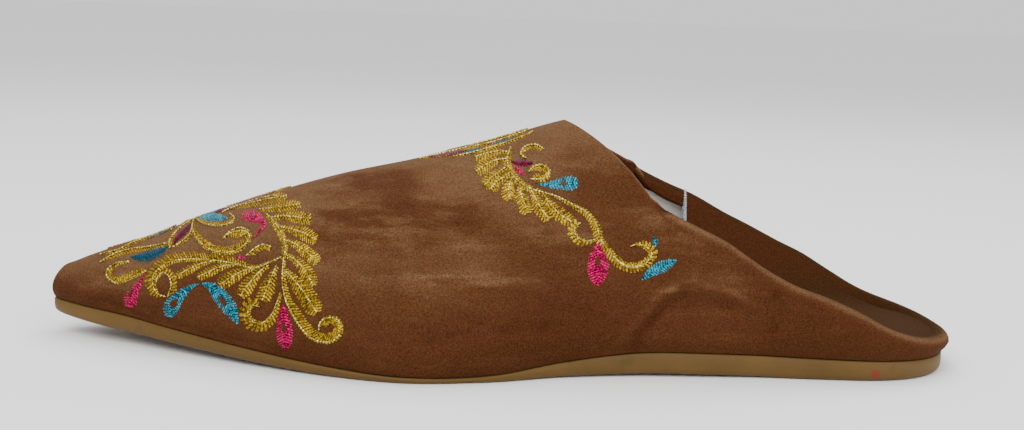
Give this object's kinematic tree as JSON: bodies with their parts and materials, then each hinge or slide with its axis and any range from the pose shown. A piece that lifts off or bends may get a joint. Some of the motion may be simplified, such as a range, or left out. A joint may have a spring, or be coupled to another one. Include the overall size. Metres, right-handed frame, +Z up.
{
  "type": "babouche slipper",
  "caption": "Pointed backless slipper with a velvet upper, folded-down heel, metallic scroll embroidery and a flat gum rubber sole.",
  "frame": {"origin": "on the floor, under the middle of the heel seat", "axes": "+Z up, -X towards the toe, -Y towards the outer side of the foot"},
  "size_m": [0.2598, 0.0934, 0.0663],
  "materials": {
    "gum_rubber": "satin olive-tan gum",
    "brown_velvet": "matt velvet nap",
    "pale_sock": "matt pale lining"
  },
  "bodies": {
    "root": {"outsole": "gum_rubber", "upper": "brown_velvet", "insole": "pale_sock"}
  },
  "joints": []
}
